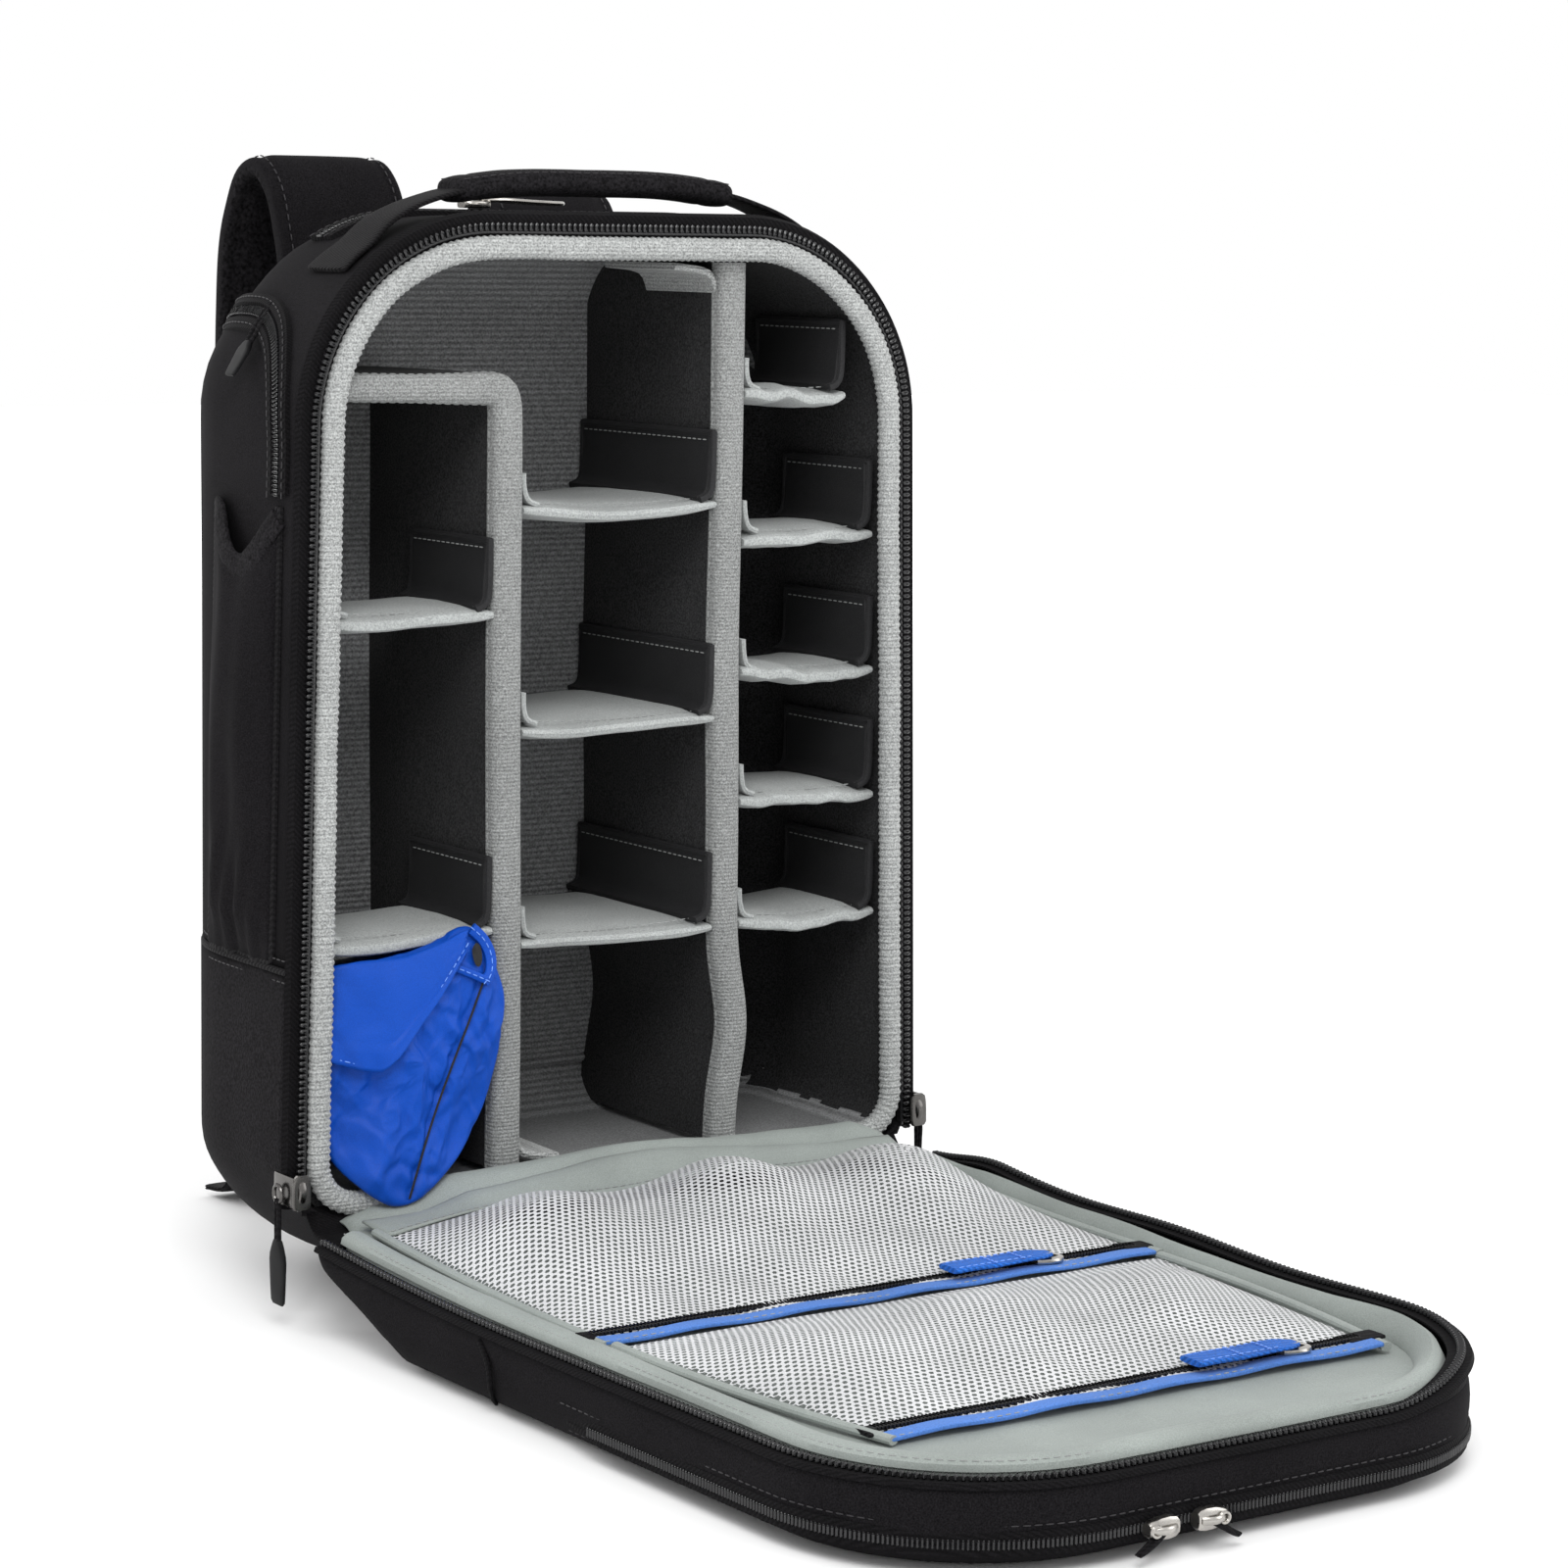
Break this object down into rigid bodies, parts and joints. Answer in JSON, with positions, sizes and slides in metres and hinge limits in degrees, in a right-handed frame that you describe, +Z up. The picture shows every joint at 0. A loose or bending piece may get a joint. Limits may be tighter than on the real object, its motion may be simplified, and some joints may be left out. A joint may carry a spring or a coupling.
{
  "type": "camera backpack",
  "caption": "Open camera backpack on its base, front panel folded down, padded dividers inside, with sliding zipper pulls, straps and a carry handle.",
  "frame": {"origin": "on the flat base, under the middle of the case", "axes": "+Z up, -Y out of the opening towards the folded-down front panel, +X to the right of someone who looks into the bag"},
  "size_m": [0.3114, 0.6067, 0.445],
  "materials": {
    "black_fabric": "black woven nylon",
    "coarse_fabric": "coarse black woven nylon",
    "black_plastic": "satin moulded plastic",
    "zipper_coil": "glossy nylon coil",
    "grey_lining": "brushed grey loop fabric",
    "light_grey": "light grey nylon",
    "panel_lining": "grey-green nylon",
    "mesh": "grey knitted mesh",
    "blue_nylon": "bright blue coated nylon",
    "blue_band": "light blue webbing",
    "metal": "polished nickel",
    "foam": "closed-cell foam",
    "board": "semi-rigid polyethylene sheet"
  },
  "bodies": {
    "case": {"outer_shell": "black_fabric", "base_boot": "coarse_fabric", "base_foam": "foam", "frame_sheet": "board", "padded_liner": "grey_lining", "rim_binding": "light_grey", "rim_zipper_tape": "black_fabric", "rim_zipper_chain": "zipper_coil", "handle_anchor_left": "black_fabric", "handle_anchor_right": "black_fabric", "top_zip_chain": "zipper_coil", "side_pocket_left": "black_fabric", "side_pocket_right": "black_fabric", "back_pad_left": "black_fabric", "back_pad_right": "black_fabric", "strap_yoke_left": "black_fabric", "strap_yoke_right": "black_fabric"},
    "front_panel": {"lid_shell": "black_fabric", "lid_foam": "foam", "lid_liner": "panel_lining", "lid_border": "panel_lining", "lid_zipper": "zipper_coil", "front_zip": "zipper_coil", "mesh_pocket_lower": "mesh", "mesh_pocket_upper": "mesh", "mesh_zip_lower": "blue_band", "mesh_zip_upper": "blue_band"},
    "handle": {"handle_grip": "black_fabric"},
    "top_zip_slider": {"top_zip_slider": "metal"},
    "side_zip_pull": {"side_zip_pull": "black_plastic"},
    "divider_left": {"divider_left": "light_grey", "top_shelf": "light_grey"},
    "divider_right": {"divider_right": "light_grey"},
    "rain_cover_pouch": {"rain_cover_pouch": "blue_nylon"},
    "main_slider_left": {"main_slider_left": "metal"},
    "main_pull_left": {"main_pull_left": "black_plastic"},
    "shoulder_strap_left": {"shoulder_strap_left": "black_fabric", "ladder_buckle_left": "black_plastic", "strap_webbing_left": "black_fabric"},
    "main_slider_right": {"main_slider_right": "metal"},
    "main_pull_right": {"main_pull_right": "black_plastic"},
    "shoulder_strap_right": {"shoulder_strap_right": "black_fabric", "ladder_buckle_right": "black_plastic", "strap_webbing_right": "black_fabric"},
    "mesh_slider_lower": {"mesh_slider_lower": "metal"},
    "mesh_pull_lower": {"mesh_pull_lower": "blue_nylon"},
    "mesh_slider_upper": {"mesh_slider_upper": "metal"},
    "mesh_pull_upper": {"mesh_pull_upper": "blue_nylon"},
    "front_slider_a": {"front_slider_a": "metal"},
    "front_slider_b": {"front_slider_b": "metal"},
    "shelf_left_1": {"shelf_left_1": "light_grey"},
    "shelf_left_2": {"shelf_left_2": "light_grey"},
    "shelf_middle_1": {"shelf_middle_1": "light_grey"},
    "shelf_middle_2": {"shelf_middle_2": "light_grey"},
    "shelf_middle_3": {"shelf_middle_3": "light_grey"},
    "shelf_right_1": {"shelf_right_1": "light_grey"},
    "shelf_right_2": {"shelf_right_2": "light_grey"},
    "shelf_right_3": {"shelf_right_3": "light_grey"},
    "shelf_right_4": {"shelf_right_4": "light_grey"},
    "shelf_right_5": {"shelf_right_5": "light_grey"}
  },
  "joints": [
    {"name": "panel_fold", "type": "hinge", "parent": "case", "child": "front_panel", "pos_m": [0, -0.0645, 0.0353], "axis": [-1, 0, 0], "range_deg": [0, 90]},
    {"name": "handle_lift", "type": "slide", "parent": "case", "child": "handle", "axis": [0, 0, 1], "range_m": [0, 0.015]},
    {"name": "main_slider_left_run", "type": "slide", "parent": "case", "child": "main_slider_left", "axis": [0.0233, 0, 0.9997], "range_m": [0, 0.24]},
    {"name": "main_pull_left_swing", "type": "hinge", "parent": "main_slider_left", "child": "main_pull_left", "pos_m": [-0.15106, -0.0585, 0.055], "axis": [0, 1, 0], "range_deg": [0, 110]},
    {"name": "shoulder_strap_left_swing", "type": "hinge", "parent": "case", "child": "shoulder_strap_left", "pos_m": [-0.065, 0.0885, 0.447], "axis": [1, 0, 0], "range_deg": [0, 35]},
    {"name": "main_slider_right_run", "type": "slide", "parent": "case", "child": "main_slider_right", "axis": [-0.0233, 0, 0.9997], "range_m": [0, 0.24]},
    {"name": "main_pull_right_swing", "type": "hinge", "parent": "main_slider_right", "child": "main_pull_right", "pos_m": [0.15106, -0.0585, 0.055], "axis": [0, -1, 0], "range_deg": [0, 110]},
    {"name": "shoulder_strap_right_swing", "type": "hinge", "parent": "case", "child": "shoulder_strap_right", "pos_m": [0.065, 0.0885, 0.435], "axis": [1, 0, 0], "range_deg": [0, 35]},
    {"name": "top_zip_slider_run", "type": "slide", "parent": "case", "child": "top_zip_slider", "axis": [1, 0, 0], "range_m": [0, 0.08]},
    {"name": "side_zip_pull_swing", "type": "hinge", "parent": "case", "child": "side_zip_pull", "pos_m": [-0.12586, -0.0095, 0.38863], "axis": [0, 1, 0], "range_deg": [0, 60]},
    {"name": "mesh_slider_lower_run", "type": "slide", "parent": "front_panel", "child": "mesh_slider_lower", "axis": [1, 0, 0], "range_m": [-0.18, 0]},
    {"name": "mesh_pull_lower_flip", "type": "hinge", "parent": "mesh_slider_lower", "child": "mesh_pull_lower", "pos_m": [0.0743, -0.2439, 0.03935], "axis": [0, 1, 0], "range_deg": [0, 180]},
    {"name": "mesh_slider_upper_run", "type": "slide", "parent": "front_panel", "child": "mesh_slider_upper", "axis": [1, 0, 0], "range_m": [-0.165, 0]},
    {"name": "mesh_pull_upper_flip", "type": "hinge", "parent": "mesh_slider_upper", "child": "mesh_pull_upper", "pos_m": [0.0692, -0.3879, 0.03935], "axis": [0, 1, 0], "range_deg": [0, 180]},
    {"name": "front_slider_a_run", "type": "slide", "parent": "front_panel", "child": "front_slider_a", "axis": [1, 0, 0], "range_m": [-0.012, 0]},
    {"name": "front_slider_b_run", "type": "slide", "parent": "front_panel", "child": "front_slider_b", "axis": [1, 0, 0], "range_m": [0, 0.08]},
    {"name": "divider_left_pull", "type": "slide", "parent": "case", "child": "divider_left", "axis": [0, 1, 0], "range_m": [-0.11, 0]},
    {"name": "divider_right_pull", "type": "slide", "parent": "case", "child": "divider_right", "axis": [0, 1, 0], "range_m": [-0.11, 0]},
    {"name": "shelf_left_1_pull", "type": "slide", "parent": "case", "child": "shelf_left_1", "axis": [0, 1, 0], "range_m": [-0.11, 0]},
    {"name": "shelf_left_2_pull", "type": "slide", "parent": "case", "child": "shelf_left_2", "axis": [0, 1, 0], "range_m": [-0.11, 0]},
    {"name": "shelf_middle_1_pull", "type": "slide", "parent": "case", "child": "shelf_middle_1", "axis": [0, 1, 0], "range_m": [-0.11, 0]},
    {"name": "shelf_middle_2_pull", "type": "slide", "parent": "case", "child": "shelf_middle_2", "axis": [0, 1, 0], "range_m": [-0.11, 0]},
    {"name": "shelf_middle_3_pull", "type": "slide", "parent": "case", "child": "shelf_middle_3", "axis": [0, 1, 0], "range_m": [-0.11, 0]},
    {"name": "shelf_right_1_pull", "type": "slide", "parent": "case", "child": "shelf_right_1", "axis": [0, 1, 0], "range_m": [-0.11, 0]},
    {"name": "shelf_right_2_pull", "type": "slide", "parent": "case", "child": "shelf_right_2", "axis": [0, 1, 0], "range_m": [-0.11, 0]},
    {"name": "shelf_right_3_pull", "type": "slide", "parent": "case", "child": "shelf_right_3", "axis": [0, 1, 0], "range_m": [-0.11, 0]},
    {"name": "shelf_right_4_pull", "type": "slide", "parent": "case", "child": "shelf_right_4", "axis": [0, 1, 0], "range_m": [-0.11, 0]},
    {"name": "shelf_right_5_pull", "type": "slide", "parent": "case", "child": "shelf_right_5", "axis": [0, 1, 0], "range_m": [-0.11, 0]},
    {"name": "rain_cover_pouch_pull", "type": "slide", "parent": "case", "child": "rain_cover_pouch", "axis": [0, 1, 0], "range_m": [-0.12, 0]}
  ]
}
